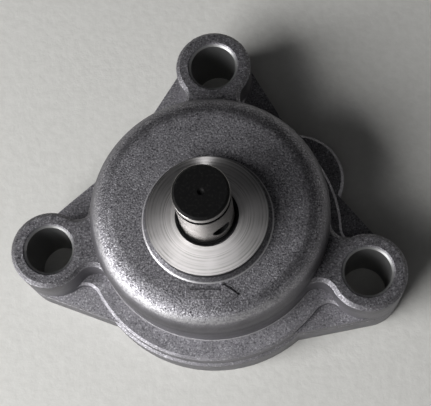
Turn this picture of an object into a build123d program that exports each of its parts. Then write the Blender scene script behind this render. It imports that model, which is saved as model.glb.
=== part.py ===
from build123d import *

import os
from math import acos, cos, degrees, radians, sin

# Engine oil pump: two aluminium castings with three bolt lugs hold a lobed inner rotor, which a shaft drives
# from outside, inside a lobed outer rotor. Millimetres. The origin is where the shaft axis meets the mounting
# face, +Z runs along the shaft to its driven end, and +Y points at the lug that stands alone.
# The castings, the rotor pocket and the outer rotor share the pump axis, which stands off the shaft axis along
# +Y by the eccentricity. The drum's outside stands a little further off, and the ledge and the cover a little
# nearer. Angles of lugs, screws, dowels and ports are taken about the pump axis from +X. Each screw stands
# between a lug hole and the rotor pocket.

# Rotors: the outer rotor's lobes are arcs, and the inner rotor is the shape that those arcs roll on.
inner_lobe_count = 4
outer_lobe_count = inner_lobe_count + 1
eccentricity = 1.5
outer_lobe_radius = 5.0
outer_lobe_circle_radius = 13.2
outer_root_fillet = 0.8
outer_rotor_diameter = 29.0
rotor_width = 10.0
arcs_per_inner_lobe = 4

# Running fits, each measured across one gap.
rotor_mesh_gap = 0.06
rotor_side_gap = 0.03
pocket_gap = 0.06
bearing_gap = 0.03
slip_gap = 0.01
slot_gap = 0.05

# Shaft, with a thicker journal inside the pump, and the pin that turns the inner rotor with it.
gear_seat_diameter = 8.0
journal_diameter = 8.5
shoulder_sink = 0.2
shaft_stick_out = 11.8
shaft_chamfer = 0.4
shaft_end_gap = 0.3
circlip_groove_width = 1.1
circlip_groove_depth = 0.4
circlip_groove_below_end = 1.4
gear_pin_hole_diameter = 2.6
gear_pin_hole_height = 3.8
gear_pin_hole_angle = -52.0
centre_drill_diameter = 1.0
centre_drill_depth = 0.5
rotor_pin_diameter = 3.0
rotor_pin_length = 11.0
rotor_pin_chamfer = 0.3

# Cover casting, the plate with the mounting face and the ports.
cover_thickness = 5.3
cover_rim = 0.4
web_inset = 1.44
cover_edge_chamfer = 0.5
bearing_floor = 1.5
port_recess_depth = 3.2
port_half_span = 58.0
port_corner_fillet = 0.8
inlet_angle = 34.0
inlet_radius = 4.0
inlet_wall = 3.4
inlet_inset = 0.1
outlet_angle = 180.0
outlet_radius = 2.9

# Body casting: webs and a ledge round the foot, lugs that stand above the ledge, and the drum with its boss.
web_height = 1.4
ledge_height = 2.9
lug_height = 8.1
drum_wall = 3.44
drum_shift = 0.5
ledge_width = 1.9
ledge_shift = 0.7
roof_thickness = 3.3
drum_rounding = 4.0
ledge_edge_chamfer = 0.4
boss_diameter = 17.8
boss_height = 2.1
boss_foot_chamfer = 0.8
bearing_mouth_chamfer = 0.4
port_shadow_depth = 0.8

# Bolt lugs, which go through both castings.
lug_angles = (90.0, 191.0, 341.0)
lug_overhang = 4.86
lug_radius = 5.85
lug_hole_radius = 3.5
lug_neck_radius = 2.4
lug_hole_chamfer = 0.5
lug_edge_chamfer = 0.6

# Screws that hold the cover on, and dowels that line it up.
screw_radius = 1.9
screw_length = 11.0
screw_head_radius = 3.1
screw_sink = 0.3
screw_tip_room = 0.6
cross_recess_width = 0.9
cross_recess_length = 3.8
cross_recess_depth = 1.3
dowel_angles = (150.0, 290.0)
dowel_radius = 1.5
dowel_length = 4.6
dowel_chamfer = 0.3
dowel_end_room = 0.1

# Worked-out sizes.
gear_seat_radius = gear_seat_diameter / 2
journal_radius = journal_diameter / 2
bearing_radius = journal_radius + bearing_gap
outer_root_radius = outer_lobe_circle_radius - outer_lobe_radius + 2 * eccentricity + rotor_mesh_gap
inner_waist_radius = outer_lobe_circle_radius - outer_lobe_radius - eccentricity
pocket_radius = outer_rotor_diameter / 2 + pocket_gap
drum_radius = pocket_radius + drum_wall
ledge_radius = drum_radius + ledge_width
cover_radius = ledge_radius + cover_rim
web_radius = ledge_radius - web_inset
lug_circle_radius = ledge_radius + lug_overhang
screw_circle_radius = (pocket_radius + lug_circle_radius - lug_hole_radius) / 2
dowel_circle_radius = (pocket_radius + ledge_radius) / 2
inlet_circle_radius = ledge_radius - inlet_inset - inlet_radius
outlet_circle_radius = (outer_root_radius + inner_waist_radius) / 2
rotor_floor_z = cover_thickness + rotor_side_gap
pocket_depth = rotor_width + 2 * rotor_side_gap
web_top_z = cover_thickness + web_height
ledge_z = cover_thickness + ledge_height
lug_top_z = cover_thickness + lug_height
drum_top_z = cover_thickness + pocket_depth + roof_thickness
boss_face_z = drum_top_z + boss_height
shoulder_z = boss_face_z - shoulder_sink
shaft_bottom_z = bearing_floor + shaft_end_gap
shaft_top_z = boss_face_z + shaft_stick_out
gear_pin_hole_z = boss_face_z + gear_pin_hole_height
rotor_pin_z = rotor_floor_z + rotor_pin_diameter / 2 + slot_gap
screw_head_height = screw_head_radius - screw_radius
pump_axis = Vector(0, eccentricity, 0)
drum_axis = pump_axis + Vector(0, drum_shift, 0)
ledge_axis = pump_axis - Vector(0, ledge_shift, 0)

os.makedirs("parts", exist_ok=True)


def around_pump(radius, angle):
    """The place at a radius and an angle about the pump axis."""
    return pump_axis + Vector(radius * cos(radians(angle)), radius * sin(radians(angle)), 0)


def round_places(radius, angles):
    """One location for each angle about the pump axis."""
    return [Location(around_pump(radius, angle)) for angle in angles]


def neck_side(centre, radius, lug, side):
    """Start, middle and end of the arc that rolls from a round form into a lug, on one side of the neck."""
    reach = lug - centre
    near_reach = radius + lug_neck_radius
    far_reach = lug_radius + lug_neck_radius
    opening = acos((near_reach**2 + reach.length**2 - far_reach**2) / (2 * near_reach * reach.length))
    roller = centre + reach.normalized().rotate(Axis.Z, side * degrees(opening)) * near_reach
    start = centre + (roller - centre).normalized() * radius
    end = lug + (roller - lug).normalized() * lug_radius
    middle = roller + ((start + end) / 2 - roller).normalized() * lug_neck_radius
    return start, middle, end


def rims(part, height, radius):
    """The circular edges of a part that lie at a height and have a radius."""
    near = 1e-2
    circles = part.edges().filter_by(GeomType.CIRCLE)
    level = circles.filter_by_position(Axis.Z, height - near, height + near)
    return level.filter_by(lambda edge: abs(edge.radius - radius) < near)


def lug_web_corners(angle):
    """Corners of the web that runs at a tangent from the web circle to one lug, on both its sides."""
    lug = around_pump(lug_circle_radius, angle)
    opening = degrees(acos((web_radius - lug_radius) / lug_circle_radius))
    first, second = radians(angle + opening), radians(angle - opening)
    reach_one = Vector(cos(first), sin(first), 0)
    reach_two = Vector(cos(second), sin(second), 0)
    return [
        pump_axis + reach_one * web_radius,
        lug + reach_one * lug_radius,
        lug + reach_two * lug_radius,
        pump_axis + reach_two * web_radius,
    ]


def inner_rotor_point(turn):
    """A point of the inner rotor: the path of a lobe centre, moved in by the lobe radius and the mesh gap."""
    path = Vector(
        outer_lobe_circle_radius * cos(turn) + eccentricity * cos(outer_lobe_count * turn),
        outer_lobe_circle_radius * sin(turn) + eccentricity * sin(outer_lobe_count * turn),
    )
    outward = Vector(
        outer_lobe_circle_radius * cos(turn) + outer_lobe_count * eccentricity * cos(outer_lobe_count * turn),
        outer_lobe_circle_radius * sin(turn) + outer_lobe_count * eccentricity * sin(outer_lobe_count * turn),
    ).normalized()
    return path - outward * (outer_lobe_radius + rotor_mesh_gap)


def port_outline(middle_angle):
    """A kidney-shaped port beside the shaft, from the inner rotor's waist out to the outer rotor's roots."""
    outer = outer_root_radius
    inner = inner_waist_radius
    with BuildSketch() as kidney:
        with Locations(pump_axis):
            Circle(outer)
        Circle(inner, mode=Mode.SUBTRACT)
        with BuildSketch(mode=Mode.PRIVATE) as sector:
            with BuildLine():
                first, last = middle_angle - port_half_span, middle_angle + port_half_span
                far = 2 * outer
                Polyline(
                    (0, 0),
                    (far * cos(radians(first)), far * sin(radians(first))),
                    (far * cos(radians(middle_angle)), far * sin(radians(middle_angle))),
                    (far * cos(radians(last)), far * sin(radians(last))),
                    close=True,
                )
            make_face()
        add(sector.sketch, mode=Mode.INTERSECT)
        fillet(kidney.vertices(), port_corner_fillet)
    return kidney.sketch


def plate_outline(centre, radius):
    """A round plate with a web that runs out to each lug."""
    with BuildSketch() as plate:
        with Locations(centre):
            Circle(radius)
        with Locations(*round_places(lug_circle_radius, lug_angles)):
            Circle(lug_radius)
        for angle in lug_angles:
            with BuildLine():
                Polyline(*lug_web_corners(angle), close=True)
            make_face()
    return plate.sketch


def lugged_outline(centre, radius):
    """A round form that flows into the three lugs through necks."""
    with BuildSketch() as form:
        with Locations(centre):
            Circle(radius)
        with Locations(*round_places(lug_circle_radius, lug_angles)):
            Circle(lug_radius)
        for angle in lug_angles:
            lug = around_pump(lug_circle_radius, angle)
            left_start, left_middle, left_end = neck_side(centre, radius, lug, 1)
            right_start, right_middle, right_end = neck_side(centre, radius, lug, -1)
            with BuildLine():
                ThreePointArc(left_start, left_middle, left_end)
                Line(left_end, right_end)
                ThreePointArc(right_end, right_middle, right_start)
                Line(right_start, left_start)
            make_face()
    return form.sketch


def lug_columns():
    """The lugs above the ledge, and what joins them to the drum."""
    with BuildPart() as columns:
        with BuildSketch(Plane.XY.offset(cover_thickness)):
            add(lugged_outline(drum_axis, drum_radius))
        extrude(amount=lug_height)
        chamfer(columns.faces().sort_by(Axis.Z)[-1].edges(), lug_edge_chamfer)
    return columns.part


def rounded_drum():
    """The drum, with its large rounding."""
    with BuildPart() as drum:
        with BuildSketch(Plane.XY.offset(cover_thickness)):
            with Locations(drum_axis):
                Circle(drum_radius)
        extrude(amount=drum_top_z - cover_thickness)
        fillet(drum.faces().sort_by(Axis.Z)[-1].edges(), drum_rounding)
    return drum.part


# Body casting.
with BuildPart() as pump_body:
    with BuildSketch(Plane.XY.offset(cover_thickness)):
        add(plate_outline(ledge_axis, ledge_radius))
    extrude(amount=web_height)
    with BuildSketch(Plane.XY.offset(cover_thickness)):
        add(lugged_outline(ledge_axis, ledge_radius))
    extrude(amount=ledge_height)
    chamfer(pump_body.faces().sort_by(Axis.Z)[-1].edges(), ledge_edge_chamfer)

    add(lug_columns())
    add(rounded_drum())

    with BuildSketch(Plane.XY.offset(drum_top_z)):
        Circle(boss_diameter / 2)
    extrude(amount=boss_height)
    chamfer(rims(pump_body, drum_top_z, boss_diameter / 2), boss_foot_chamfer)

    with BuildSketch(Plane.XY.offset(cover_thickness)):
        with Locations(pump_axis):
            Circle(pocket_radius)
    extrude(amount=pocket_depth, mode=Mode.SUBTRACT)
    with BuildSketch(Plane.XY.offset(cover_thickness + pocket_depth)):
        add(port_outline(inlet_angle))
        add(port_outline(outlet_angle))
    extrude(amount=port_shadow_depth, mode=Mode.SUBTRACT)
    with Locations((0, 0, boss_face_z)):
        Cylinder(bearing_radius, boss_face_z, mode=Mode.SUBTRACT, align=(Align.CENTER, Align.CENTER, Align.MAX))
    chamfer(rims(pump_body, boss_face_z, bearing_radius), bearing_mouth_chamfer)
    with BuildSketch(Plane.XY.offset(cover_thickness)):
        with Locations(*round_places(lug_circle_radius, lug_angles)):
            Circle(lug_hole_radius)
    extrude(amount=lug_height, mode=Mode.SUBTRACT)
    chamfer(rims(pump_body, lug_top_z, lug_hole_radius), lug_hole_chamfer)
    with BuildSketch(Plane.XY.offset(cover_thickness)):
        with Locations(*round_places(screw_circle_radius, lug_angles)):
            Circle(screw_radius + slip_gap)
    extrude(amount=screw_sink + screw_length + screw_tip_room - cover_thickness, mode=Mode.SUBTRACT)
    with BuildSketch(Plane.XY.offset(cover_thickness)):
        with Locations(*round_places(dowel_circle_radius, dowel_angles)):
            Circle(dowel_radius + slip_gap)
    extrude(amount=dowel_length / 2 + dowel_end_room, mode=Mode.SUBTRACT)
pump_body.part.label = "pump_body"
export_step(pump_body.part, "parts/pump_body.step")


# Cover casting.
with BuildPart() as pump_cover:
    with BuildSketch():
        add(plate_outline(ledge_axis, cover_radius))
        with Locations(Location(around_pump(inlet_circle_radius, inlet_angle))):
            Circle(inlet_radius + inlet_wall)
    extrude(amount=cover_thickness)
    chamfer(pump_cover.faces().sort_by(Axis.Z)[-1].edges(), cover_edge_chamfer)

    with BuildSketch(Plane.XY.offset(cover_thickness)):
        add(port_outline(inlet_angle))
        add(port_outline(outlet_angle))
        with Locations(Location(around_pump(inlet_circle_radius, inlet_angle))):
            Circle(inlet_radius)
    extrude(amount=-port_recess_depth, mode=Mode.SUBTRACT)
    with BuildSketch():
        with Locations(Location(around_pump(inlet_circle_radius, inlet_angle))):
            Circle(inlet_radius)
        with Locations(Location(around_pump(outlet_circle_radius, outlet_angle))):
            Circle(outlet_radius)
        with Locations(*round_places(lug_circle_radius, lug_angles)):
            Circle(lug_hole_radius)
        with Locations(*round_places(screw_circle_radius, lug_angles)):
            Circle(screw_radius + slot_gap)
    extrude(amount=cover_thickness, mode=Mode.SUBTRACT)
    with BuildSketch(Plane.XY.offset(bearing_floor)):
        Circle(bearing_radius)
    extrude(amount=cover_thickness, mode=Mode.SUBTRACT)
    with BuildSketch(Plane.XY.offset(cover_thickness)):
        with Locations(*round_places(dowel_circle_radius, dowel_angles)):
            Circle(dowel_radius + slip_gap)
    extrude(amount=-dowel_length / 2, mode=Mode.SUBTRACT)
    with Locations(*round_places(screw_circle_radius, lug_angles)):
        Cylinder(
            screw_head_radius + slot_gap,
            screw_sink,
            mode=Mode.SUBTRACT,
            align=(Align.CENTER, Align.CENTER, Align.MIN),
        )
        with Locations((0, 0, screw_sink)):
            Cone(
                screw_head_radius + slot_gap,
                screw_radius + slot_gap,
                screw_head_height,
                mode=Mode.SUBTRACT,
                align=(Align.CENTER, Align.CENTER, Align.MIN),
            )
pump_cover.part.label = "pump_cover"
export_step(pump_cover.part, "parts/pump_cover.step")


# Drive shaft, drawn as half a profile and turned. Its gear seat runs from the shoulder to the circlip groove.
with BuildPart() as drive_shaft:
    groove_top = shaft_top_z - circlip_groove_below_end
    groove_bottom = groove_top - circlip_groove_width
    groove_radius = gear_seat_radius - circlip_groove_depth
    with BuildSketch(Plane.XZ):
        with BuildLine():
            Polyline(
                (0, shaft_bottom_z),
                (journal_radius - shaft_chamfer, shaft_bottom_z),
                (journal_radius, shaft_bottom_z + shaft_chamfer),
                (journal_radius, shoulder_z),
                (gear_seat_radius, shoulder_z),
                (gear_seat_radius, groove_bottom),
                (groove_radius, groove_bottom),
                (groove_radius, groove_top),
                (gear_seat_radius, groove_top),
                (gear_seat_radius, shaft_top_z - shaft_chamfer),
                (gear_seat_radius - shaft_chamfer, shaft_top_z),
                (centre_drill_diameter / 2, shaft_top_z),
                (0, shaft_top_z - centre_drill_depth),
                close=True,
            )
        make_face()
    revolve(axis=Axis.Z)
    with Locations(Location((0, 0, gear_pin_hole_z), (0, 0, gear_pin_hole_angle)) * Rot(0, 90, 0)):
        Cylinder(gear_pin_hole_diameter / 2, 2 * journal_diameter, mode=Mode.SUBTRACT)
    with Locations((0, 0, rotor_pin_z)):
        Cylinder(
            rotor_pin_diameter / 2 + slip_gap,
            2 * journal_diameter,
            rotation=(0, 90, 0),
            mode=Mode.SUBTRACT,
        )
drive_shaft.part.label = "drive_shaft"
export_step(drive_shaft.part, "parts/drive_shaft.step")


# Pin across the shaft, which turns the inner rotor.
with BuildPart() as rotor_drive_pin:
    with Locations((0, 0, rotor_pin_z)):
        Cylinder(rotor_pin_diameter / 2, rotor_pin_length, rotation=(0, 90, 0))
    chamfer(rotor_drive_pin.edges().filter_by(GeomType.CIRCLE), rotor_pin_chamfer)
rotor_drive_pin.part.label = "rotor_drive_pin"
export_step(rotor_drive_pin.part, "parts/rotor_drive_pin.step")


# Inner rotor.
with BuildPart() as inner_rotor:
    with BuildSketch(Plane.XY.offset(rotor_floor_z)):
        with BuildLine():
            arc_count = inner_lobe_count * arcs_per_inner_lobe
            for arc in range(arc_count):
                turns = [radians(360 * (arc + part_way) / arc_count) for part_way in (-0.5, 0, 0.5)]
                ThreePointArc(*[inner_rotor_point(turn) for turn in turns])
        make_face()
        Circle(journal_radius + slip_gap, mode=Mode.SUBTRACT)
    extrude(amount=rotor_width)
    with Locations((0, 0, rotor_floor_z)):
        Box(
            rotor_pin_length + 2 * slot_gap,
            rotor_pin_diameter + 2 * slot_gap,
            rotor_pin_diameter + 2 * slot_gap,
            mode=Mode.SUBTRACT,
            align=(Align.CENTER, Align.CENTER, Align.MIN),
        )
inner_rotor.part.label = "inner_rotor"
export_step(inner_rotor.part, "parts/inner_rotor.step")


# Outer rotor, with one lobe straight above the shaft, where it meets a tip of the inner rotor.
with BuildPart() as outer_rotor:
    with BuildSketch(Plane.XY.offset(rotor_floor_z)):
        with Locations(pump_axis):
            Circle(outer_rotor_diameter / 2)
        with BuildSketch(mode=Mode.PRIVATE) as rotor_window:
            with Locations(pump_axis):
                Circle(outer_root_radius)
                with PolarLocations(outer_lobe_circle_radius, outer_lobe_count, start_angle=90):
                    Circle(outer_lobe_radius, mode=Mode.SUBTRACT)
            corners = [
                corner
                for corner in rotor_window.vertices()
                if min(
                    abs(
                        (
                            Vector(corner.X, corner.Y)
                            - around_pump(outer_lobe_circle_radius, 90 + 360 * lobe / outer_lobe_count)
                        ).length
                        - outer_lobe_radius
                    )
                    for lobe in range(outer_lobe_count)
                )
                < 1e-3
                and abs((Vector(corner.X, corner.Y) - pump_axis).length - outer_root_radius) < 1e-3
            ]
            fillet(corners, outer_root_fillet)
        add(rotor_window.sketch, mode=Mode.SUBTRACT)
    extrude(amount=rotor_width)
outer_rotor.part.label = "outer_rotor"
export_step(outer_rotor.part, "parts/outer_rotor.step")


# Countersunk screws, put in from the mounting face.
for number, screw_angle in enumerate(lug_angles, start=1):
    with BuildPart() as cover_screw:
        place = around_pump(screw_circle_radius, screw_angle)
        with BuildSketch(Plane.XZ):
            with BuildLine():
                Polyline(
                    (0, screw_sink),
                    (screw_head_radius, screw_sink),
                    (screw_radius, screw_sink + screw_head_height),
                    (screw_radius, screw_sink + screw_length),
                    (0, screw_sink + screw_length),
                    close=True,
                )
            make_face()
        revolve(axis=Axis.Z)
        with BuildSketch(Plane.XY.offset(screw_sink)):
            Rectangle(cross_recess_length, cross_recess_width)
            Rectangle(cross_recess_width, cross_recess_length)
        extrude(amount=cross_recess_depth, mode=Mode.SUBTRACT)
    screw = cover_screw.part.moved(Location(place))
    screw.label = f"cover_screw_{number}"
    export_step(screw, f"parts/cover_screw_{number}.step")


# Dowel pins, half in each casting.
for number, dowel_angle in enumerate(dowel_angles, start=1):
    with BuildPart() as dowel_pin:
        with Locations(around_pump(dowel_circle_radius, dowel_angle) + Vector(0, 0, cover_thickness)):
            Cylinder(dowel_radius, dowel_length)
        chamfer(dowel_pin.edges().filter_by(GeomType.CIRCLE), dowel_chamfer)
    dowel_pin.part.label = f"dowel_pin_{number}"
    export_step(dowel_pin.part, f"parts/dowel_pin_{number}.step")
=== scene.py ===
"""Dresses an engine oil pump in its finishes, with a raised arrow, a floor, lights and a camera.

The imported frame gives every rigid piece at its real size. This script gives each one its finish, adds the
raised rotation arrow on the drum, and sets the pump on a pale floor under soft light. Named lengths and
heights are in millimetres, and angles in degrees; the meshes and the scene are in metres.
"""

from __future__ import annotations

import logging
import math
from collections.abc import Callable, Sequence
from dataclasses import dataclass
from enum import Enum

import bpy
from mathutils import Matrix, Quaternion, Vector

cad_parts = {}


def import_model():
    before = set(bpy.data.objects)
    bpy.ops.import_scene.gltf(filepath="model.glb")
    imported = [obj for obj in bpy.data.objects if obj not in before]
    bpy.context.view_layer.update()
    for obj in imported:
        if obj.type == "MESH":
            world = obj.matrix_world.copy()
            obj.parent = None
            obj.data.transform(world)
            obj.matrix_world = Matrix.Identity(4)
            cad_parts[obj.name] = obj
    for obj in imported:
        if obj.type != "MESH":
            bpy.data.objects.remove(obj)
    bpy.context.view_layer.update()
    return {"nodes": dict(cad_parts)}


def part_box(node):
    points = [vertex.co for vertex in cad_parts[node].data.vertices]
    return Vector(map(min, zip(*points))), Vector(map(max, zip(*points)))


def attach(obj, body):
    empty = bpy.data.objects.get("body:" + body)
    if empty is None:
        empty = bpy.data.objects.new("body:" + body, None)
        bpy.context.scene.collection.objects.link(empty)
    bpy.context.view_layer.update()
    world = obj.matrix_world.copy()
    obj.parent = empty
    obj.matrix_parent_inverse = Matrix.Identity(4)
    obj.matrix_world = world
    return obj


LOG = logging.getLogger("oil_pump")
MM = 0.001
PICTURE_WIDTH_PX = 431
SENSOR_WIDTH_MM = 36.0
NO_BOSS = 1000.0
NOISE_SPAN = (0.3, 0.7)

Colour = tuple[float, float, float, float]
Socket = bpy.types.NodeSocket
Value = Socket | float | Colour


class Body(Enum):
    """The moving group that a new piece of the scene rides on."""

    HOUSING = "housing"


class Blend(Enum):
    """How a mask is laid over another value."""

    MIX = "MIX"
    MULTIPLY = "MULTIPLY"


class Bench:
    """A node tree with short calls for the arithmetic that a finish needs."""

    def __init__(self, name: str) -> None:
        """Start an empty material.

        Args:
            name: The material's name.
        """
        self.material = bpy.data.materials.new(name)
        self.material.use_nodes = True
        self.tree = self.material.node_tree
        self.tree.nodes.clear()
        self.output = self.tree.nodes.new("ShaderNodeOutputMaterial")
        self.place = self.millimetres()

    def add(self, kind: str, **settings: object) -> bpy.types.Node:
        """Add a node and set its properties.

        Args:
            kind: The node's type name.
            **settings: Properties of the node.

        Returns:
            The new node.
        """
        node = self.tree.nodes.new(kind)
        for key, value in settings.items():
            setattr(node, key, value)
        return node

    def feed(self, socket: Socket, value: Value) -> None:
        """Set a socket to a number, or link it to another node's output.

        Args:
            socket: The input to fill.
            value: A number, a tuple or an output socket.
        """
        if isinstance(value, Socket):
            self.tree.links.new(value, socket)
        else:
            socket.default_value = value

    def math(self, operation: str, first: Value, second: Value = 0.0) -> Socket:
        """One sum on numbers.

        Args:
            operation: The name of the operation.
            first: The first number or output.
            second: The second number or output.

        Returns:
            The result's output socket.
        """
        node = self.add("ShaderNodeMath", operation=operation)
        self.feed(node.inputs[0], first)
        self.feed(node.inputs[1], second)
        return node.outputs[0]

    def product(self, *values: Value) -> Value:
        """Multiply several numbers.

        Args:
            *values: The numbers or outputs.

        Returns:
            Their product.
        """
        total, *others = values
        for value in others:
            total = self.math("MULTIPLY", total, value)
        return total

    def highest(self, *values: Value) -> Value:
        """Take the highest of several numbers.

        Args:
            *values: The numbers or outputs.

        Returns:
            The highest.
        """
        most, *others = values
        for value in others:
            most = self.math("MAXIMUM", most, value)
        return most

    def band(self, value: Value, below: float, low: float, high: float, above: float) -> Value:
        """Full between two values, and fading out past them.

        Args:
            value: The value to test.
            below: Where the band starts.
            low: Where it is full.
            high: Where it begins to fade.
            above: Where it has ended.

        Returns:
            The share's output socket.
        """
        return self.product(self.ramp(value, below, low), self.ramp(value, above, high))

    def dim(self, share: Value, tone: float) -> Socket:
        """A tone that is full where a share is 0 and lower where it is 1.

        Args:
            share: The share.
            tone: The tone at a share of 1.

        Returns:
            The tone's output socket.
        """
        return self.ramp(share, 0.0, 1.0, 1.0, tone)

    def ramp(self, value: Value, low: float, high: float, start: float = 0.0, end: float = 1.0) -> Socket:
        """Map a value smoothly from one range to another, and hold it past the ends.

        Args:
            value: The value to map.
            low: The value at which the result is start.
            high: The value at which the result is end.
            start: The result at low.
            end: The result at high.

        Returns:
            The result's output socket.
        """
        node = self.add("ShaderNodeMapRange", interpolation_type="SMOOTHSTEP")
        for index, number in enumerate((value, low, high, start, end)):
            self.feed(node.inputs[index], number)
        return node.outputs[0]

    def colours(self, share: Value, first: Value, second: Value, blend: Blend = Blend.MIX) -> Socket:
        """Mix two colours by a share.

        Args:
            share: How much of the second colour shows.
            first: The colour below.
            second: The colour above.
            blend: How they are laid over each other.

        Returns:
            The mixed colour's output socket.
        """
        node = self.add("ShaderNodeMix", data_type="RGBA", blend_type=blend.value)
        self.feed(node.inputs[0], share)
        self.feed(node.inputs[6], first)
        self.feed(node.inputs[7], second)
        return node.outputs[2]

    def numbers(self, share: Value, first: Value, second: Value) -> Socket:
        """Mix two numbers by a share.

        Args:
            share: How much of the second number counts.
            first: The number at a share of 0.
            second: The number at a share of 1.

        Returns:
            The mixed number's output socket.
        """
        node = self.add("ShaderNodeMix", data_type="FLOAT")
        self.feed(node.inputs[0], share)
        self.feed(node.inputs[2], first)
        self.feed(node.inputs[3], second)
        return node.outputs[0]

    def millimetres(self) -> Socket:
        """Add the coordinates on the pump, in millimetres.

        Returns:
            The place's output socket.
        """
        scale = self.add("ShaderNodeVectorMath", operation="SCALE")
        self.feed(scale.inputs[0], self.add("ShaderNodeTexCoord").outputs["Object"])
        scale.inputs["Scale"].default_value = 1 / MM
        return scale.outputs[0]

    def noise(
        self, size: float, detail: float = 2.0, roughness: float = 0.5, place: Socket | None = None
    ) -> Socket:
        """A cloudy value around a half.

        Args:
            size: The size of one blotch.
            detail: How many finer layers it has.
            roughness: How strong the finer layers are.
            place: Other coordinates than the pump's.

        Returns:
            The value's output socket.
        """
        node = self.add("ShaderNodeTexNoise")
        self.feed(node.inputs["Vector"], self.place if place is None else place)
        node.inputs["Scale"].default_value = 1 / size
        node.inputs["Detail"].default_value = detail
        node.inputs["Roughness"].default_value = roughness
        return node.outputs[0]

    def rings(self, reach: Socket, pitch: float) -> Socket:
        """Uneven tool marks that run round an axis.

        Args:
            reach: The distance from the axis.
            pitch: The usual spacing of the marks.

        Returns:
            The marks' output socket, around a half.
        """
        node = self.add("ShaderNodeTexNoise", noise_dimensions="1D")
        self.feed(node.inputs["W"], reach)
        node.inputs["Scale"].default_value = 1 / pitch
        node.inputs["Detail"].default_value = 2.0
        node.inputs["Roughness"].default_value = 0.6
        return node.outputs[0]

    def parts(self, vector: Socket) -> tuple[Socket, Socket, Socket]:
        """Split a vector into its three parts.

        Args:
            vector: The vector's output socket.

        Returns:
            The output sockets of its X, Y and Z.
        """
        node = self.add("ShaderNodeSeparateXYZ")
        self.feed(node.inputs[0], vector)
        return tuple(node.outputs)

    def level(self) -> Socket:
        """The height of the place."""
        return self.parts(self.place)[2]

    def slope(self) -> Socket:
        """How far the surface turns up: 1 on a flat top, 0 on a wall and -1 underneath."""
        return self.parts(self.add("ShaderNodeTexCoord").outputs["Normal"])[2]

    def reach(self, centre: tuple[float, float] = (0.0, 0.0)) -> Socket:
        """How far the place is from an upright axis.

        Args:
            centre: The axis's place in plan.

        Returns:
            The distance's output socket.
        """
        x, y, _ = self.parts(self.place)
        return self.length(self.math("SUBTRACT", x, centre[0]), self.math("SUBTRACT", y, centre[1]))

    def length(self, across: Socket, along: Socket) -> Socket:
        """The length of a vector in a plane.

        Args:
            across: Its first part.
            along: Its second part.

        Returns:
            The length's output socket.
        """
        squares = self.math("ADD", self.product(across, across), self.product(along, along))
        return self.math("SQRT", squares)

    def bump(self, height: Value, depth: float) -> Socket:
        """Turn a height into a surface normal.

        Args:
            height: The height, from 0 to 1.
            depth: What a height of 1 stands for.

        Returns:
            The normal's output socket.
        """
        node = self.add("ShaderNodeBump")
        node.inputs["Strength"].default_value = 1.0
        node.inputs["Distance"].default_value = depth * MM
        self.feed(node.inputs["Height"], height)
        return node.outputs[0]

    def shader(
        self, colour: Value, roughness: Value, metallic: float, normal: Socket, specular: float = 0.5
    ) -> bpy.types.Node:
        """Add one shader.

        Args:
            colour: The base colour.
            roughness: How dull it is.
            metallic: How much of it is bare metal.
            normal: The surface normal.
            specular: The strength of the gloss on what isn't metal.

        Returns:
            The shader node.
        """
        shader = self.add("ShaderNodeBsdfPrincipled")
        shader.inputs["Specular IOR Level"].default_value = specular
        self.feed(shader.inputs["Base Color"], colour)
        self.feed(shader.inputs["Roughness"], roughness)
        self.feed(shader.inputs["Metallic"], metallic)
        self.feed(shader.inputs["Normal"], normal)
        return shader

    def close(
        self, shader: bpy.types.Node, over: bpy.types.Node | None = None, share: Value = 0.0
    ) -> bpy.types.Material:
        """Close the tree with one shader, or with a second one laid over it.

        Args:
            shader: The shader below.
            over: The shader above.
            share: How much of the shader above shows.

        Returns:
            The finished material.
        """
        surface = shader.outputs[0]
        if over is not None:
            mix = self.add("ShaderNodeMixShader")
            self.feed(mix.inputs[0], share)
            self.feed(mix.inputs[1], surface)
            self.feed(mix.inputs[2], over.outputs[0])
            surface = mix.outputs[0]
        self.feed(self.output.inputs[0], surface)
        return self.material


@dataclass(frozen=True)
class TurnedZone:
    """A round patch of a casting that a tool has cut bright.

    Attributes:
        centre: Its axis in plan.
        radius: Its radius.
        low: Its lowest height.
        high: Its highest height.
        rim: How far the cut fades inside its radius.
        skin: How far it fades under and over its heights.
    """

    centre: tuple[float, float]
    radius: float
    low: float
    high: float
    rim: float = 0.04
    skin: float = 0.03


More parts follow.
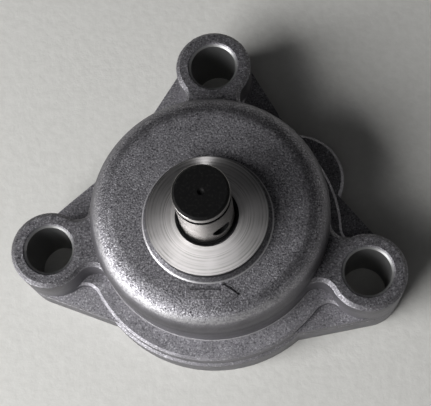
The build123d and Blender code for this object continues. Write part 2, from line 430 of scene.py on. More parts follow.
@dataclass(frozen=True)
class CastFinish:
    """Blasted cast aluminium with worn edges, painted highlights, painted shade, drilled holes and a turned
    face.

    Attributes:
        name: The material's name.
        holes: The drilled holes.
        faced: The face that is turned about the origin's upright axis.
        milled_below: Height under which it is milled flat.
        metal: The skin's colour.
        pale_grain: The colour of its pale grains.
        dark_grain: The colour of its dark grains.
        rub_and_highlight: The colour of worn edges and of the painted highlights.
        drilled: The colour of drilled holes.
        cut_dull: How dull drilled metal, worn edges and the painted highlights are.
        grain_size: The grain's size.
        grain_depth: The grain's depth.
        grain_slope: How far a face points up where the grain grows, and is whole.
        wall_grain: How strong the grain is on the walls.
        pale_share: Over which grain heights the pale grains appear.
        dark_share: Under which grain heights the dark grains appear.
        dull: How dull the skin is, in its pits and on its grains.
        blotch_size: The size of the skin's blotches.
        blotch_tones: How dark and how pale the blotches are.
        metallic: How much of the skin is bare metal.
        low_levels: The heights over which the low skin gives way to the drum's.
        low_grain: How strong the low skin's grain is, beside the drum's.
        low_tone: How pale the low skin is, beside the drum's.
        wall_slope: Which slopes count as wall and as top.
        painted_wall_tone: Painted shade: how much darker the walls are than the tops.
        lug_levels: Where the band of the lugs' tops starts, is full, fades and has ended.
        lug_shade: How much darker the lugs' tops are than the drum's.
        large_rounding: The heights between which the edges stay unrubbed.
        edge_rub: How strongly the edges are worn.
        patch_size: The size of the patches in which they are worn.
        boss_foot: Height at which the boss rises from the drum's flat top.
        boss_wall_painted_shade: Painted shade: how much darker the boss's wall is than the tops.
        foot_line: The band of the painted highlight over the boss's foot.
        foot_highlight: How bright the painted highlight round the boss's foot is.
        shoulder: The heights between which the drum's large rounding carries its painted highlight.
        shoulder_fade: Over what height the painted highlight fades at its rims.
        scuff_size: The size of the painted highlight's ragged spots.
        spot_brightness: How bright the painted highlight is, between its spots and in them.
        rounding_painted_shade: Painted shade: how much darker the rounding is above its painted highlight.
        highlight_bearing: Which way the bright side of the painted highlight faces.
        highlight_span: Where that side starts and is whole, in drum radii that way.
        off_highlight: How much of the painted highlight is left on the other side.
        drum: The drum's wall, with the height of the ledge under it as its low.
        ledge_line: The band of the painted highlight about the ledge.
        ledge_highlight: How bright the painted highlight on the drum's wall at the ledge is.
        seam: Height of the dark seam between the castings.
        seam_shade: How much darker the seam is.
    """

    name: str
    holes: tuple[TurnedZone, ...] = ()
    faced: TurnedZone | None = None
    milled_below: float = -1.0
    metal: Colour = (0.250, 0.243, 0.262, 1.0)
    pale_grain: Colour = (0.62, 0.61, 0.64, 1.0)
    dark_grain: Colour = (0.055, 0.053, 0.06, 1.0)
    rub_and_highlight: Colour = (0.72, 0.71, 0.72, 1.0)
    drilled: Colour = (0.30, 0.30, 0.30, 1.0)
    cut_dull: float = 0.42
    grain_size: float = 0.26
    grain_depth: float = 0.07
    grain_slope: tuple[float, float] = (0.40, 0.88)
    wall_grain: float = 0.28
    pale_share: tuple[float, float] = (0.52, 0.69)
    dark_share: tuple[float, float] = (0.48, 0.31)
    dull: tuple[float, float] = (0.60, 0.44)
    blotch_size: float = 2.6
    blotch_tones: tuple[float, float] = (0.86, 1.1)
    metallic: float = 0.85
    low_levels: tuple[float, float] = (9.0, 12.0)
    low_grain: float = 0.8
    low_tone: float = 1.3
    wall_slope: tuple[float, float] = (0.3, 0.68)
    painted_wall_tone: float = 0.55
    lug_levels: tuple[float, float, float, float] = (12.6, 13.2, 14.0, 15.0)
    lug_shade: float = 0.72
    large_rounding: tuple[float, float] = (14.2, 18.6)
    edge_rub: float = 0.55
    patch_size: float = 0.9
    boss_foot: float = 18.66
    boss_wall_painted_shade: float = 0.5
    foot_line: tuple[float, float, float, float] = (0.02, 0.06, 0.15, 0.3)
    foot_highlight: float = 0.8
    shoulder: tuple[float, float] = (16.75, 18.1)
    shoulder_fade: float = 0.5
    scuff_size: float = 0.4
    spot_brightness: tuple[float, float] = (0.08, 0.46)
    rounding_painted_shade: float = 0.7
    highlight_bearing: float = 254.0
    highlight_span: tuple[float, float] = (-0.2, 0.75)
    off_highlight: float = 0.08
    drum: TurnedZone = TurnedZone((0.0, 2.0), 18.0, 8.2, 14.66)
    ledge_line: tuple[float, float, float, float] = (-0.2, -0.1, 0.1, 0.22)
    ledge_highlight: float = 0.55
    seam: float = 5.3
    seam_shade: float = 0.3

    def build(self) -> bpy.types.Material:
        """Build the material.

        Returns:
            The finished material.
        """
        bench = Bench(self.name)
        colour, roughness, grain = self.blasted(bench)
        colour, roughness, grain = self.rub_edges_and_paint_highlights(bench, colour, roughness, grain)
        drilled = self.zone_share(bench, self.holes)
        colour = bench.colours(drilled, colour, self.drilled)
        roughness = bench.numbers(drilled, roughness, self.cut_dull)
        height = bench.numbers(drilled, grain, 0.5)
        casting = bench.shader(colour, roughness, self.metallic, bench.bump(height, self.grain_depth))
        if self.milled_below > 0:
            return bench.close(casting, *self.milled_face(bench))
        if self.faced is not None:
            turned = TurnedFace().shader(bench)
            return bench.close(casting, turned, self.zone_share(bench, (self.faced,)))
        return bench.close(casting)

    def blasted(self, bench: Bench) -> tuple[Socket, Socket, Socket]:
        """The blasted skin, coarser where it faces up.

        Args:
            bench: The material's node tree.

        Returns:
            The colour, the roughness and the grain's height, as output sockets.
        """
        level = bench.level()
        strength = bench.product(
            bench.ramp(bench.slope(), *self.grain_slope, self.wall_grain, 1.0),
            bench.ramp(level, *self.low_levels, self.low_grain, 1.0),
        )
        grain = bench.numbers(strength, 0.5, bench.noise(self.grain_size, roughness=0.65))
        colour = bench.colours(bench.ramp(grain, *self.pale_share), self.metal, self.pale_grain)
        colour = bench.colours(bench.ramp(grain, *self.dark_share), colour, self.dark_grain)
        tone = bench.add("ShaderNodeCombineColor")
        shade = self.shade(bench, level)
        for channel in range(3):
            bench.feed(tone.inputs[channel], shade)
        colour = bench.colours(1.0, colour, tone.outputs[0], Blend.MULTIPLY)
        return colour, bench.ramp(grain, *NOISE_SPAN, *self.dull), grain

    def shade(self, bench: Bench, level: Socket) -> Value:
        """How dark each part of the skin is: random blotches, a dark seam, paler low skin and darker lug
        tops, and painted shade on the walls, the boss's wall and the rounding above the painted highlight.

        Args:
            bench: The material's node tree.
            level: The height.

        Returns:
            The tone's output socket.
        """
        foot, highlight_top = self.boss_foot, self.shoulder[1]
        blotches = bench.ramp(bench.noise(self.blotch_size, detail=3.0), *NOISE_SPAN, *self.blotch_tones)
        low_skin = bench.ramp(level, *self.low_levels, self.low_tone, 1.0)
        # Painted shade: the walls are painted darker than the tops.
        walls = bench.ramp(bench.slope(), *self.wall_slope, self.painted_wall_tone, 1.0)
        lug_tops = bench.dim(bench.band(level, *self.lug_levels), self.lug_shade)
        # Painted shade on the boss's wall.
        boss_wall = bench.ramp(level, foot + 0.15, foot + 0.4, 1.0, self.boss_wall_painted_shade)
        # Painted shade on the rounding above the painted highlight, so that the rounding looks smaller.
        off_highlight = bench.band(level, highlight_top - 0.1, highlight_top + 0.25, foot - 0.14, foot - 0.03)
        rounding = bench.dim(off_highlight, self.rounding_painted_shade)
        off_seam = bench.math("ABSOLUTE", bench.math("SUBTRACT", level, self.seam))
        near_seam, on_wall = bench.ramp(off_seam, 0.26, 0.12), bench.ramp(bench.slope(), 0.6, 0.4)
        seam = bench.dim(bench.product(near_seam, on_wall), self.seam_shade)
        return bench.product(blotches, low_skin, walls, lug_tops, boss_wall, rounding, seam)

    def rub_edges_and_paint_highlights(
        self, bench: Bench, colour: Socket, roughness: Socket, grain: Socket
    ) -> tuple[Socket, Socket, Socket]:
        """Rub the edges bright, and paint highlights on the boss's foot, the drum's shoulder and the drum's
        foot.

        Args:
            bench: The material's node tree.
            colour: The colour so far.
            roughness: The roughness so far.
            grain: The height so far.

        Returns:
            The colour, the roughness and the height, as output sockets.
        """
        level = bench.level()
        radius, flattening = self.drum.radius, 0.7
        # A painted highlight: a bright line round the boss's foot.
        boss_line = bench.band(level, *(self.boss_foot + rise for rise in self.foot_line))
        # A painted highlight: a bright line round the drum's foot at the ledge.
        near_drum = bench.ramp(bench.reach(self.drum.centre), radius + 0.2, radius + 0.08)
        at_ledge = bench.band(level, *(self.drum.low + rise for rise in self.ledge_line))
        # Worn edges, plus the painted highlights on the boss's foot, the drum's shoulder and the drum's
        # foot.
        rub_and_highlight_share = bench.highest(
            self.edge_share(bench, level),
            bench.product(boss_line, self.foot_highlight),
            self.shoulder_highlight_share(bench, level),
            bench.product(at_ledge, near_drum, self.ledge_highlight),
        )
        return (
            bench.colours(rub_and_highlight_share, colour, self.rub_and_highlight),
            bench.numbers(rub_and_highlight_share, roughness, self.cut_dull),
            bench.numbers(bench.product(rub_and_highlight_share, flattening), grain, 0.5),
        )

    def edge_share(self, bench: Bench, level: Socket) -> Value:
        """Where the slanted edges are worn bright, in patches, save on the large rounding and the boss.

        Args:
            bench: The material's node tree.
            level: The height.

        Returns:
            The rubbed share's output socket.
        """
        slope = bench.slope()
        bend = bench.product(slope, bench.math("SUBTRACT", 1.0, slope), 4.0)
        edges = bench.ramp(bend, 0.88, 1.0, 0.0, self.edge_rub)
        patches = bench.ramp(bench.noise(self.patch_size, detail=3.0), 0.38, 0.62, 0.08, 1.0)
        low, high = self.large_rounding
        under, over = bench.math("LESS_THAN", level, low), bench.math("GREATER_THAN", level, high)
        off_boss = bench.ramp(level, self.boss_foot + 0.12, self.boss_foot + 0.35, 1.0, 0.1)
        return bench.product(edges, patches, bench.math("ADD", under, over), off_boss)

    def shoulder_highlight_share(self, bench: Bench, level: Socket) -> Value:
        """Where the drum's shoulder carries a painted highlight: raggedly, and on one side above all.

        Args:
            bench: The material's node tree.
            level: The height.

        Returns:
            The highlighted share's output socket.
        """
        # A painted highlight, brightest on one side of the shoulder.
        bearing = math.radians(self.highlight_bearing)
        towards = bench.add("ShaderNodeVectorMath", operation="DOT_PRODUCT")
        bench.feed(towards.inputs[0], bench.place)
        towards.inputs[1].default_value = (math.cos(bearing), math.sin(bearing), 0.0)
        span = (share * self.drum.radius for share in self.highlight_span)
        side = bench.ramp(towards.outputs["Value"], *span, self.off_highlight, 1.0)
        ragged_spots = bench.ramp(bench.noise(self.scuff_size, 4.0, 0.7), 0.35, 0.6, *self.spot_brightness)
        low, high, fade = *self.shoulder, self.shoulder_fade
        return bench.product(bench.band(level, low, low + fade, high - fade, high), side, ragged_spots)

    def zone_share(self, bench: Bench, zones: tuple[TurnedZone, ...]) -> Value:
        """Where a tool has cut.

        Args:
            bench: The material's node tree.
            zones: The patches that a tool has cut.

        Returns:
            The share that is cut, as an output or a plain zero.
        """
        cut: Value = 0.0
        level = bench.level()
        for zone in zones:
            inside = bench.ramp(bench.reach(zone.centre), zone.radius, zone.radius - zone.rim)
            height = bench.band(level, zone.low - zone.skin, zone.low, zone.high, zone.high + zone.skin)
            cut = bench.highest(cut, bench.product(inside, height))
        return cut

    def milled_face(self, bench: Bench) -> tuple[bpy.types.Node, Socket]:
        """The face that a cutter has swept flat in overlapping arcs.

        Args:
            bench: The material's node tree.

        Returns:
            The shader, and the share of the casting that it covers.
        """
        cutter_axis, pitch, depth, dull = (-46.0, 30.0), 0.7, 0.006, 0.34
        pale, deep = (0.62, 0.61, 0.61, 1.0), (0.47, 0.465, 0.47, 1.0)
        marks = bench.rings(bench.reach(cutter_axis), pitch)
        colour = bench.colours(bench.ramp(marks, 0.35, 0.65), pale, deep)
        shader = bench.shader(colour, dull, 1.0, bench.bump(marks, depth))
        return shader, bench.ramp(bench.level(), self.milled_below, self.milled_below - 0.01)


@dataclass(frozen=True)
class TurnedFace:
    """Bright metal faced on a lathe, with uneven rings that stretch its shine.

    Attributes:
        bright: The colour of the ridges.
        shaded: The colour of the grooves.
        pitch: The rings' usual spacing.
        fine_pitch: The spacing of the finer rings among them.
        depth: The rings' depth.
        fade_size: The size of the patches in which the grooves' colour fades.
        roughness: How dull the face is.
        stretch: How far the rings stretch the shine.
        turn: How far the stretched shine is turned, as a share of a full turn.
        oil_and_shade: The colour of the dark rim round the bearing: oily, with painted shade in the gap.
        oil_and_shade_radius: The dark rim's radius.
    """

    bright: Colour = (0.97, 0.94, 0.94, 1.0)
    shaded: Colour = (0.62, 0.605, 0.59, 1.0)
    pitch: float = 0.24
    fine_pitch: float = 0.1
    depth: float = 0.008
    fade_size: float = 3.4
    roughness: float = 0.42
    stretch: float = 0.72
    turn: float = 0.145
    oil_and_shade: Colour = (0.03, 0.028, 0.026, 1.0)
    oil_and_shade_radius: float = 4.38

    def shader(self, bench: Bench) -> bpy.types.Node:
        """Add the shader.

        Args:
            bench: The material's node tree.

        Returns:
            The shader node.
        """
        reach = bench.reach()
        coarse_share = 0.7
        coarse = bench.product(bench.rings(reach, self.pitch), coarse_share)
        fine = bench.product(bench.rings(reach, self.fine_pitch), 1.0 - coarse_share)
        rings = bench.math("ADD", coarse, fine)
        groove = bench.math("SUBTRACT", 1.0, bench.ramp(rings, 0.36, 0.62))
        fade = bench.ramp(bench.noise(self.fade_size, detail=3.0), 0.35, 0.62, 0.35, 1.0)
        ridge = bench.math("SUBTRACT", 1.0, bench.product(groove, fade))
        colour = bench.colours(ridge, self.shaded, self.bright)
        # The rim round the bearing is painted dark: oily, and painted shade in the gap round the shaft.
        oil = bench.ramp(reach, self.oil_and_shade_radius, self.oil_and_shade_radius - 0.15)
        colour = bench.colours(oil, colour, self.oil_and_shade)
        shader = bench.shader(colour, self.roughness, 1.0, bench.bump(rings, self.depth))
        shader.inputs["Anisotropic"].default_value = self.stretch
        shader.inputs["Anisotropic Rotation"].default_value = self.turn
        tangent = bench.add("ShaderNodeTangent", direction_type="RADIAL", axis="Z")
        bench.feed(shader.inputs["Tangent"], tangent.outputs[0])
        return shader


@dataclass(frozen=True)
class ShaftFinish:
    """Ground steel with a black-finished driven end, and painted shade in its groove, in its cross hole and
    at its oily foot.

    Attributes:
        top: Height of the driven end.
        foot: Height at which the shaft leaves its bearing.
        name: The material's name.
        steel: The ground steel's colour.
        steel_dull: How dull it is, at least and at most.
        smoke: The colour of its darker streaks.
        streak_stretch: How far the streaks' coordinates are scaled along each axis.
        black: The blackened steel's colour.
        worn_black: The colour where the blackening is worn.
        black_dull: How dull the blackening is, at least and at most.
        radius: The shaft's radius.
        end_levels: How far under the top the black starts and is full.
        foot_levels: How far over the foot the oily dark and painted shade have ended and are full.
        hole_rise: How far the cross hole's axis lies above the foot.
        hole_bearing: Which way the cross hole runs.
        hole_shade_radius: Radius of the painted shade in and around the hole.
    """

    top: float
    foot: float
    name: str = "ground_shaft_steel"
    steel: Colour = (0.58, 0.56, 0.545, 1.0)
    steel_dull: tuple[float, float] = (0.22, 0.34)
    smoke: Colour = (0.28, 0.27, 0.262, 1.0)
    streak_stretch: tuple[float, float, float] = (0.4, 0.4, 9.0)
    black: Colour = (0.005, 0.005, 0.0052, 1.0)
    worn_black: Colour = (0.011, 0.0108, 0.0105, 1.0)
    black_dull: tuple[float, float] = (0.48, 0.62)
    radius: float = 4.0
    end_levels: tuple[float, float] = (0.42, 0.30)
    foot_levels: tuple[float, float] = (0.35, 0.1)
    hole_rise: float = 3.6
    hole_bearing: float = -52.0
    hole_shade_radius: float = 1.5

    def build(self) -> bpy.types.Material:
        """Build the material.

        Returns:
            The finished material.
        """
        bench = Bench(self.name)
        streak_place = bench.add("ShaderNodeMapping")
        bench.feed(streak_place.inputs[0], bench.place)
        streak_place.inputs["Scale"].default_value = self.streak_stretch
        streak_size, streak_depth = 0.8, 0.003
        streaks = bench.noise(streak_size, detail=3.0, place=streak_place.outputs[0])
        colour = bench.colours(bench.ramp(streaks, 0.35, 0.7), self.steel, self.smoke)
        dull = bench.ramp(streaks, *NOISE_SPAN, *self.steel_dull)
        ground = bench.shader(colour, dull, 1.0, bench.bump(streaks, streak_depth))

        speck_size, ring_pitch, ring_depth = 0.35, 0.5, 0.01
        speck = bench.noise(speck_size, detail=3.0)
        dull = bench.ramp(speck, *NOISE_SPAN, *self.black_dull)
        black_tone = bench.colours(bench.ramp(speck, 0.5, 0.72), self.black, self.worn_black)
        turned = bench.bump(bench.rings(bench.reach(), ring_pitch), ring_depth)
        # One black shader carries the black-finished end and the painted shade.
        black_and_shade = bench.shader(black_tone, dull, 0.0, turned, specular=0.1)
        return bench.close(ground, black_and_shade, self.black_share(bench))

    def black_share(self, bench: Bench) -> Value:
        """Where the shaft is black: its black-finished end, and the painted shade in its groove, in its
        hole and at its oily foot.

        Args:
            bench: The material's node tree.

        Returns:
            The black share's output socket.
        """
        level = bench.level()
        outside = bench.ramp(level, self.foot - 1.0, self.foot - 0.5)
        driven_end = bench.ramp(level, *(self.top - drop for drop in self.end_levels))
        # Painted shade: the groove and the cross hole's inside are painted black.
        sunk_shade = bench.product(bench.ramp(bench.reach(), self.radius - 0.03, self.radius - 0.1), outside)
        # Painted shade where the shaft leaves its bearing, where it is also oily.
        oil_and_shade = bench.product(outside, bench.ramp(level, *(self.foot + rise for rise in self.foot_levels)))
        return bench.highest(driven_end, sunk_shade, oil_and_shade, self.hole_shade_share(bench))

    def hole_shade_share(self, bench: Bench) -> Socket:
        """Where painted shade darkens the cross hole and its rim.

        Args:
            bench: The material's node tree.

        Returns:
            The blackened share's output socket.
        """
        turned = bench.add("ShaderNodeMapping")
        bench.feed(turned.inputs[0], bench.place)
        turned.inputs["Rotation"].default_value = (0.0, 0.0, -math.radians(self.hole_bearing))
        _, across, level = bench.parts(turned.outputs[0])
        above = bench.math("SUBTRACT", level, self.foot + self.hole_rise)
        return bench.ramp(bench.length(across, above), self.hole_shade_radius, self.hole_shade_radius - 0.12)


@dataclass(frozen=True)
class SteelFinish:
    """Plain machined or plated steel with a fine grain.

    Attributes:
        name: The material's name.
        colour: Its colour.
        dull: How dull it is.
        grain: The grain's size.
        depth: The grain's depth.
        blotch_growth: How much larger a blotch is than the grain.
        blotch_tone: How dark the blotches are, beside the colour.
    """

    name: str
    colour: Colour
    dull: float = 0.35
    grain: float = 0.3
    depth: float = 0.004
    blotch_growth: float = 8.0
    blotch_tone: float = 0.8

    def build(self) -> bpy.types.Material:
        """Build the material.

        Returns:
            The finished material.
        """
        bench = Bench(self.name)
        grain = bench.noise(self.grain, detail=3.0)
        blotch = bench.noise(self.grain * self.blotch_growth)
        darker = tuple(self.blotch_tone * part for part in self.colour[:3]) + (1.0,)
        colour = bench.colours(bench.ramp(blotch, 0.35, 0.65), self.colour, darker)
        roughness = bench.ramp(grain, *NOISE_SPAN, self.dull - 0.07, self.dull + 0.09)
        return bench.close(bench.shader(colour, roughness, 1.0, bench.bump(grain, self.depth)))


@dataclass(frozen=True)
class FloorFinish:
    """A pale table top with a faint cloud and a fine tooth, which runs out into an even backdrop.

    Attributes:
        name: The material's name.
        colour: The table's colour.
        cloud: The colour of its faint clouds.
        dull: How dull it is.
        tooth_size: The size of its tooth and clouds.
        tooth_depth: The tooth's depth.
        backdrop: The backdrop's colour.
        backdrop_reach: Where the backdrop begins and where it is whole.
    """

    name: str = "pale_table_top"
    colour: Colour = (0.64, 0.635, 0.61, 1.0)
    cloud: Colour = (0.60, 0.595, 0.57, 1.0)
    dull: float = 0.75
    tooth_size: float = 1.4
    tooth_depth: float = 0.06
    backdrop: Colour = (0.60, 0.595, 0.57, 1.0)
    backdrop_reach: tuple[float, float] = (70.0, 230.0)

    def build(self) -> bpy.types.Material:
        """Build the material.

        Returns:
            The finished material.
        """
        bench = Bench(self.name)
        tooth = bench.noise(self.tooth_size, detail=4.0, roughness=0.62)
        colour = bench.colours(bench.ramp(tooth, *NOISE_SPAN), self.colour, self.cloud)
        table = bench.shader(colour, self.dull, 0.0, bench.bump(tooth, self.tooth_depth))
        backdrop = bench.add("ShaderNodeEmission")
        backdrop.inputs["Color"].default_value = self.backdrop
        ray = bench.add("ShaderNodeLightPath")
        kinds = ("Is Camera Ray", "Is Glossy Ray", "Is Transmission Ray")
        seen = bench.highest(*(ray.outputs[kind] for kind in kinds))
        far = bench.ramp(bench.reach(), *self.backdrop_reach)
        return bench.close(table, backdrop, bench.product(far, seen))


@dataclass
class Castings:
    """The body casting and the cover casting.

    Attributes:
        nodes: The frame's nodes by name.
        pump_axis: The castings' axis in plan.
        lug_circle: Radius of the circle through the lug holes.
        lug_angles: Where the lugs stand.
        cut_lug_radius: How far the tool-cut ring reaches around a lug hole.
        boss_radius: Radius of the turned boss face.
        boss_height: How far the boss stands up from the drum's flat top.
        boss_skin: How thick the turned zone is.
        milled_below: Height under which the cover is milled flat.
    """

    nodes: dict[str, bpy.types.Object]
    pump_axis: tuple[float, float] = (0.0, 1.5)
    lug_circle: float = 24.76
    lug_angles: tuple[float, ...] = (90.0, 191.0, 341.0)
    cut_lug_radius: float = 3.8
    boss_radius: float = 8.9
    boss_height: float = 2.1
    boss_skin: float = 0.06
    milled_below: float = 0.03

    def lug_centres(self) -> list[tuple[float, float]]:
        """Where the lug holes are.

        Returns:
            Their axes in plan, in millimetres.
        """
        return [
            (
                self.pump_axis[0] + self.lug_circle * math.cos(math.radians(angle)),
                self.pump_axis[1] + self.lug_circle * math.sin(math.radians(angle)),
            )
            for angle in self.lug_angles
        ]

    def drum_top(self) -> float:
        """Height of the drum's flat top, in millimetres."""
        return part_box("pump_body")[1].z / MM - self.boss_height

    def dress(self) -> None:
        """Give both castings their finish."""
        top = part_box("pump_body")[1].z / MM
        boss = TurnedZone((0.0, 0.0), self.boss_radius, top - self.boss_skin, top + 1.0)
        holes = tuple(TurnedZone(centre, self.cut_lug_radius, -1.0, top) for centre in self.lug_centres())
        body = CastFinish("blasted_body_casting", holes, boss)
        cover = CastFinish("blasted_cover_casting", holes, milled_below=self.milled_below)
        for name, finish in (("pump_body", body), ("pump_cover", cover)):
            self.nodes[name].data.materials.clear()
            self.nodes[name].data.materials.append(finish.build())
            LOG.info("%s has the finish %s", name, finish.name)


@dataclass
class RunningGear:
    """The shaft, the rotors, the pins and the screws.

    Attributes:
        nodes: The frame's nodes by name.
    """

    nodes: dict[str, bpy.types.Object]

    def finishes(self) -> dict[str, ShaftFinish | SteelFinish]:
        """Choose the finishes of the steel pieces.

        Returns:
            The finish of each node, by the start of its name.
        """
        shaft_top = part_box("drive_shaft")[1].z / MM
        return {
            "drive_shaft": ShaftFinish(shaft_top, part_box("pump_body")[1].z / MM),
            "inner_rotor": SteelFinish("sintered_inner_rotor", (0.42, 0.41, 0.40, 1.0), 0.38, 0.2, 0.006),
            "outer_rotor": SteelFinish("sintered_outer_rotor", (0.36, 0.355, 0.35, 1.0), 0.42, 0.2, 0.006),
            "rotor_drive_pin": SteelFinish("ground_drive_pin", (0.58, 0.57, 0.56, 1.0), 0.22),
            "cover_screw": SteelFinish("zinc_plated_screw", (0.60, 0.60, 0.57, 1.0), 0.33),
            "dowel_pin": SteelFinish("ground_dowel_pin", (0.58, 0.57, 0.56, 1.0), 0.24),
        }

    def dress(self) -> None:
        """Give every steel piece its finish."""
        for start, finish in self.finishes().items():
            material = finish.build()
            for name, node in self.nodes.items():
                if name.startswith(start):
                    node.data.materials.clear()
                    node.data.materials.append(material)
                    LOG.info("%s has the finish %s", name, finish.name)


@dataclass
class RotationArrow:
    """A raised cast arrow on the drum that shows which way the shaft turns.

    Attributes:
        level: Height of the drum's flat top.
        centre: Its middle in plan.
        bar: Length and width of its bar.
        head: Length and width of its head.
        rise: How far it stands up.
        sink: How far it reaches into the drum.
        edge: How far its edges are rounded.
        tip: How wide its tip is, as a share of the head's width.
        painted_wall_tone: The painted light on its walls: how much paler they are than its top.
    """

    level: float
    centre: tuple[float, float] = (0.75, -11.25)
    bar: tuple[float, float] = (5.2, 1.5)
    head: tuple[float, float] = (2.3, 3.3)
    rise: float = 0.42
    sink: float = 0.05
    edge: float = 0.08
    tip: float = 0.08
    painted_wall_tone: float = 1.3

    def build(self) -> bpy.types.Object:
        """Model the arrow: a plane stretched to the bar, its end pulled out into the head.

        Returns:
            The finished piece.
        """
        bpy.ops.object.select_all(action="DESELECT")
        bpy.ops.mesh.primitive_plane_add(size=1.0, location=(0, 0, 0))
        arrow = bpy.context.object
        arrow.name = "rotation_arrow"
        bar_length, bar_width = self.bar
        head_length, head_width = self.head
        bpy.ops.object.mode_set(mode="EDIT")
        bpy.ops.transform.resize(value=(bar_length * MM, bar_width * MM, 1.0))
        bpy.ops.object.mode_set(mode="OBJECT")
        self.select_edges(arrow, lambda a, b: a.x > 0 and b.x > 0)
        bpy.ops.object.mode_set(mode="EDIT")
        bpy.ops.mesh.extrude_region_move()
        bpy.ops.transform.resize(value=(1.0, head_width / bar_width, 1.0))
        bpy.ops.mesh.extrude_region_move(TRANSFORM_OT_translate={"value": (head_length * MM, 0, 0)})
        bpy.ops.transform.resize(value=(1.0, self.tip, 1.0))
        bpy.ops.mesh.select_all(action="SELECT")
        bpy.ops.mesh.remove_doubles(threshold=1e-7)
        height = (0, 0, (self.rise + self.sink) * MM)
        bpy.ops.mesh.extrude_region_move(TRANSFORM_OT_translate={"value": height})
        bpy.ops.mesh.select_all(action="SELECT")
        bpy.ops.mesh.normals_make_consistent(inside=False)
        across, along = self.centre
        place = (across - head_length / 2, along, self.level - self.sink)
        bpy.ops.transform.translate(value=tuple(part * MM for part in place))
        bpy.ops.object.mode_set(mode="OBJECT")
        bevel = arrow.modifiers.new("rounded_edges", "BEVEL")
        bevel.width = self.edge * MM
        bevel.segments = 3
        bevel.limit_method = "ANGLE"
        bpy.ops.object.modifier_apply(modifier=bevel.name)
        # Its walls are painted paler than its top: painted light.
        finish = CastFinish(
            "blasted_arrow", boss_foot=NO_BOSS, rounding_painted_shade=1.0, painted_wall_tone=self.painted_wall_tone
        )
        arrow.data.materials.append(finish.build())
        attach(arrow, Body.HOUSING.value)
        LOG.info("%s has %d faces", arrow.name, len(arrow.data.polygons))
        return arrow

    @staticmethod
    def select_edges(piece: bpy.types.Object, wanted: Callable[[Vector, Vector], bool]) -> None:
        """Select only the edges whose two ends pass a test, in object mode.

        Args:
            piece: The mesh object.
            wanted: A test that takes the two ends' places.
        """
        mesh = piece.data
        for group in (mesh.vertices, mesh.edges, mesh.polygons):
            for item in group:
                item.select = False
        for edge in mesh.edges:
            first, second = (mesh.vertices[index] for index in edge.vertices)
            if wanted(first.co, second.co):
                edge.select = True
                first.select = True
                second.select = True


@dataclass(frozen=True)
class Lamp:
    """One soft square lamp that points at the pump.

    Attributes:
        name: The lamp's name.
        bearing: Where it hangs around the pump, in degrees from +X towards +Y.
        height: How high it hangs above the table.
        reach: How far away it hangs.
        side: The length of its side.
        power: Its power, in watts.
        colour: The colour of its light.
    """

    name: str
    bearing: float
    height: float
    reach: float
    side: float
    power: float
    colour: tuple[float, float, float] = (1.0, 1.0, 1.0)

    def hang(self) -> None:
        """Hang the lamp in the scene."""
        data = bpy.data.lights.new(self.name, "AREA")
        data.shape = "SQUARE"
        data.size = self.side * MM
        data.energy = self.power
        data.color = self.colour
        lamp = bpy.data.objects.new(self.name, data)
        bpy.context.scene.collection.objects.link(lamp)
        bearing, height = math.radians(self.bearing), math.radians(self.height)
        flat = math.cos(height)
        towards = Vector((flat * math.cos(bearing), flat * math.sin(bearing), math.sin(height)))
        lamp.location = towards * self.reach * MM
        lamp.rotation_euler = (-towards).to_track_quat("-Z", "Y").to_euler()
        LOG.info("%s shines with %.1f W", self.name, self.power)


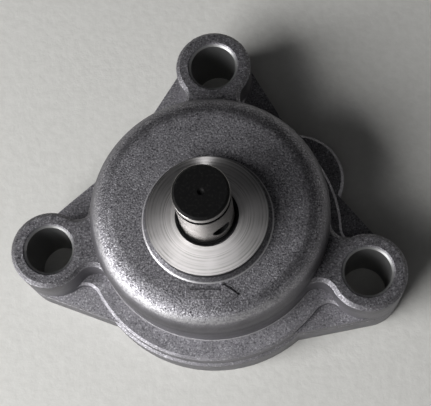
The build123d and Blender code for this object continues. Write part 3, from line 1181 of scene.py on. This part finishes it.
@dataclass
class Studio:
    """The floor, the lights and the camera.

    Attributes:
        camera_place: Where the camera stands.
        camera_aim: The point that it looks at.
        camera_roll: How far it is turned about its own axis.
        focal_px: Its focal length, in pixels of the picture.
        floor_side: The length of the floor's side.
        lamps: The lamps.
        horizon: The room's colour at eye level and below.
        zenith: The room's colour overhead.
        behind: How bright the room's far side is, beside its near side.
        overhead_span: How high a direction points where the horizon ends and the zenith begins.
        behind_span: How far back it points where the near side ends and the far side begins.
    """

    camera_place: tuple[float, float, float] = (11.9, -43.4, 176.7)
    camera_aim: tuple[float, float, float] = (0.5, 4.94, 10.0)
    camera_roll: float = -12.9
    focal_px: float = 1130.0
    floor_side: float = 2400.0
    lamps: tuple[Lamp, ...] = (
        Lamp("window", 214.0, 34.0, 380.0, 290.0, 2.42),
        Lamp("side_window", 262.0, 66.0, 480.0, 240.0, 0.06),
    )
    horizon: Colour = (0.22, 0.22, 0.22, 1.0)
    zenith: Colour = (0.015, 0.015, 0.016, 1.0)
    behind: float = 0.3
    overhead_span: tuple[float, float] = (0.1, 0.65)
    behind_span: tuple[float, float] = (-0.1, 0.8)

    def build_floor(self) -> bpy.types.Object:
        """Lay the table top.

        Returns:
            The floor.
        """
        bpy.ops.object.select_all(action="DESELECT")
        bpy.ops.mesh.primitive_plane_add(size=self.floor_side * MM, location=(0, 0, 0))
        floor = bpy.context.object
        floor.name = "table_top"
        bpy.ops.object.mode_set(mode="EDIT")
        bpy.ops.mesh.subdivide(number_cuts=3)
        bpy.ops.object.mode_set(mode="OBJECT")
        floor.data.materials.append(FloorFinish().build())
        LOG.info("the table top is %.1f m across", self.floor_side * MM)
        return floor

    def build_lights(self) -> None:
        """Hang the lamps and set the room, pale around and dim overhead."""
        for lamp in self.lamps:
            lamp.hang()
        world = bpy.data.worlds.new("quiet_room")
        bpy.context.scene.world = world
        world.use_nodes = True
        nodes, links = world.node_tree.nodes, world.node_tree.links
        direction = nodes.new("ShaderNodeTexCoord")
        parts = nodes.new("ShaderNodeSeparateXYZ")
        links.new(direction.outputs["Generated"], parts.inputs[0])
        overhead = self.fade(world, parts.outputs[2], self.overhead_span, 0.0, 1.0)
        room = nodes.new("ShaderNodeMix")
        room.data_type = "RGBA"
        room.inputs[6].default_value = self.horizon
        room.inputs[7].default_value = self.zenith
        links.new(overhead, room.inputs[0])
        strength = self.fade(world, parts.outputs[1], self.behind_span, 1.0, self.behind)
        links.new(room.outputs[2], nodes["Background"].inputs["Color"])
        links.new(strength, nodes["Background"].inputs["Strength"])

    @staticmethod
    def fade(
        world: bpy.types.World, value: Socket, span: tuple[float, float], start: float, end: float
    ) -> Socket:
        """Add a smooth change over a range of directions.

        Args:
            world: The world whose nodes it joins.
            value: One part of the direction.
            span: The part's values between which the change runs.
            start: The result at the first of them.
            end: The result at the second.

        Returns:
            The result's output socket.
        """
        node = world.node_tree.nodes.new("ShaderNodeMapRange")
        node.interpolation_type = "SMOOTHSTEP"
        limits = {"From Min": span[0], "From Max": span[1], "To Min": start, "To Max": end}
        for name, limit in limits.items():
            node.inputs[name].default_value = limit
        world.node_tree.links.new(value, node.inputs["Value"])
        return node.outputs[0]

    def build_camera(self) -> None:
        """Stand the camera at its place and turn it to its aim."""
        data = bpy.data.cameras.new("camera")
        data.sensor_width = SENSOR_WIDTH_MM
        data.sensor_fit = "HORIZONTAL"
        data.lens = SENSOR_WIDTH_MM * self.focal_px / PICTURE_WIDTH_PX
        data.clip_start = 0.01
        data.clip_end = 10.0
        camera = bpy.data.objects.new("camera", data)
        bpy.context.scene.collection.objects.link(camera)
        camera.location = Vector(self.camera_place) * MM
        look = (Vector(self.camera_aim) - Vector(self.camera_place)).to_track_quat("-Z", "Y")
        camera.rotation_mode = "QUATERNION"
        camera.rotation_quaternion = look @ Quaternion((0, 0, 1), math.radians(self.camera_roll))
        bpy.context.scene.camera = camera
        LOG.info("the camera has a %.0f mm lens", data.lens)


def main() -> None:
    """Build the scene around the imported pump."""
    logging.basicConfig(level=logging.INFO, format="%(name)s: %(message)s")
    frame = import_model()
    nodes = frame["nodes"]
    bpy.context.scene.view_settings.view_transform = "Standard"
    castings = Castings(nodes)
    castings.dress()
    RunningGear(nodes).dress()
    RotationArrow(castings.drum_top()).build()
    studio = Studio()
    studio.build_floor()
    studio.build_lights()
    studio.build_camera()


if __name__ == "__main__":
    main()
